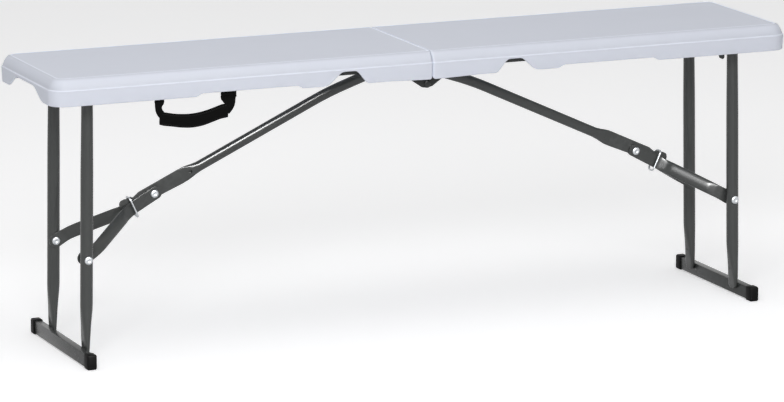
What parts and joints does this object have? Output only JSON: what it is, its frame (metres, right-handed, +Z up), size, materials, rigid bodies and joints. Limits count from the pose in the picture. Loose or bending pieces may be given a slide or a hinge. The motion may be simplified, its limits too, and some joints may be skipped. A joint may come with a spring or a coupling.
{
  "type": "folding bench",
  "caption": "Long narrow bench with a moulded seat in two halves that folds flat at the centre, on steel legs with braces, lock rings and foot bars, and a webbing carrying handle.",
  "frame": {"origin": "centre of the footprint, on the ground under the seam", "axes": "+X along the bench, +Y to the far side, +Z up"},
  "size_m": [1.22, 0.262, 0.441],
  "materials": {
    "panel_plastic": "fine moulded texture",
    "painted_steel": "satin powder coat",
    "zinc": "zinc plated",
    "cap_plastic": "moulded satin",
    "webbing": "woven webbing"
  },
  "bodies": {
    "left_half": {"left_seat_panel": "panel_plastic", "left_near_rail": "painted_steel", "left_far_rail": "painted_steel", "left_near_inner_rail_screw": "zinc", "left_far_inner_rail_screw": "zinc", "left_near_outer_rail_screw": "zinc", "left_far_outer_rail_screw": "zinc", "left_near_hinge_leaf": "painted_steel", "left_far_hinge_leaf": "painted_steel", "left_near_leg_bracket": "painted_steel", "left_far_leg_bracket": "painted_steel", "left_brace_rod": "painted_steel", "outer_handle_anchor": "webbing", "inner_handle_anchor": "webbing"},
    "hinge_pins": {"near_hinge_pin": "painted_steel", "far_hinge_pin": "painted_steel"},
    "right_half": {"right_seat_panel": "panel_plastic", "right_near_rail": "painted_steel", "right_far_rail": "painted_steel", "right_near_inner_rail_screw": "zinc", "right_far_inner_rail_screw": "zinc", "right_near_outer_rail_screw": "zinc", "right_far_outer_rail_screw": "zinc", "right_near_hinge_leaf": "painted_steel", "right_far_hinge_leaf": "painted_steel", "right_near_leg_bracket": "painted_steel", "right_far_leg_bracket": "painted_steel", "right_brace_rod": "painted_steel"},
    "left_legs": {"left_leg_cross_tube": "painted_steel", "left_near_leg": "painted_steel", "left_far_leg": "painted_steel", "left_near_leg_rivet": "zinc", "left_far_leg_rivet": "zinc", "left_foot_bar": "painted_steel", "left_near_foot_cap": "cap_plastic", "left_far_foot_cap": "cap_plastic"},
    "left_brace": {"left_upper_brace": "painted_steel", "left_knee_rivet": "zinc"},
    "left_arms": {"left_near_arm": "painted_steel", "left_far_arm": "painted_steel", "left_near_arm_rivet": "zinc", "left_far_arm_rivet": "zinc"},
    "left_ring": {"left_lock_ring": "zinc"},
    "right_legs": {"right_leg_cross_tube": "painted_steel", "right_near_leg": "painted_steel", "right_far_leg": "painted_steel", "right_near_leg_rivet": "zinc", "right_far_leg_rivet": "zinc", "right_foot_bar": "painted_steel", "right_near_foot_cap": "cap_plastic", "right_far_foot_cap": "cap_plastic"},
    "right_brace": {"right_upper_brace": "painted_steel", "right_knee_rivet": "zinc"},
    "right_arms": {"right_near_arm": "painted_steel", "right_far_arm": "painted_steel", "right_near_arm_rivet": "zinc", "right_far_arm_rivet": "zinc"},
    "right_ring": {"right_lock_ring": "zinc"},
    "handle": {"handle_loop": "webbing"}
  },
  "joints": [
    {"name": "centre_fold", "type": "hinge", "parent": "hinge_pins", "child": "left_half", "pos_m": [0, 0, 0.3885], "axis": [0, -1, 0], "range_deg": [0, 80]},
    {"name": "centre_close", "type": "hinge", "parent": "hinge_pins", "child": "right_half", "pos_m": [0, 0, 0.3885], "axis": [0, 1, 0], "range_deg": [0, 100]},
    {"name": "left_leg_fold", "type": "hinge", "parent": "left_half", "child": "left_legs", "pos_m": [-0.5376, 0, 0.4072], "axis": [0, -1, 0], "range_deg": [0, 91.04]},
    {"name": "left_brace_swing", "type": "hinge", "parent": "left_half", "child": "left_brace", "pos_m": [-0.016, 0, 0.401], "axis": [0, 1, 0], "range_deg": [0, 24.84]},
    {"name": "left_knee_fold", "type": "hinge", "parent": "left_brace", "child": "left_arms", "pos_m": [-0.4065, 0, 0.23128], "axis": [0, -1, 0], "range_deg": [0, 174.58]},
    {"name": "left_ring_slide", "type": "slide", "parent": "left_brace", "child": "left_ring", "axis": [0.9075, 0, 0.42], "range_m": [0, 0.2601]},
    {"name": "right_leg_fold", "type": "hinge", "parent": "right_half", "child": "right_legs", "pos_m": [0.5376, 0, 0.4072], "axis": [0, 1, 0], "range_deg": [0, 91.04]},
    {"name": "right_brace_swing", "type": "hinge", "parent": "right_half", "child": "right_brace", "pos_m": [0.016, 0, 0.401], "axis": [0, -1, 0], "range_deg": [0, 24.84]},
    {"name": "right_knee_fold", "type": "hinge", "parent": "right_brace", "child": "right_arms", "pos_m": [0.4065, 0, 0.23128], "axis": [0, 1, 0], "range_deg": [0, 174.58]},
    {"name": "right_ring_slide", "type": "slide", "parent": "right_brace", "child": "right_ring", "axis": [-0.9075, 0, 0.42], "range_m": [0, 0.2601]},
    {"name": "handle_swing", "type": "hinge", "parent": "left_half", "child": "handle", "pos_m": [-0.387, -0.1183, 0.396], "axis": [-1, 0, 0], "range_deg": [0, 90.01]}
  ],
  "couplings": [
    {"joint": "left_leg_fold", "follows": "centre_fold", "ratio": 1.1379},
    {"joint": "left_brace_swing", "follows": "centre_fold", "ratio": 0.3104},
    {"joint": "left_knee_fold", "follows": "centre_fold", "ratio": 2.1821},
    {"joint": "left_ring_slide", "follows": "centre_fold", "m_per_rad": 0.18621},
    {"joint": "right_leg_fold", "follows": "centre_fold", "ratio": 1.1379},
    {"joint": "right_brace_swing", "follows": "centre_fold", "ratio": 0.3104},
    {"joint": "right_knee_fold", "follows": "centre_fold", "ratio": 2.1821},
    {"joint": "right_ring_slide", "follows": "centre_fold", "m_per_rad": 0.18621},
    {"joint": "handle_swing", "follows": "centre_fold", "ratio": 1.125}
  ]
}
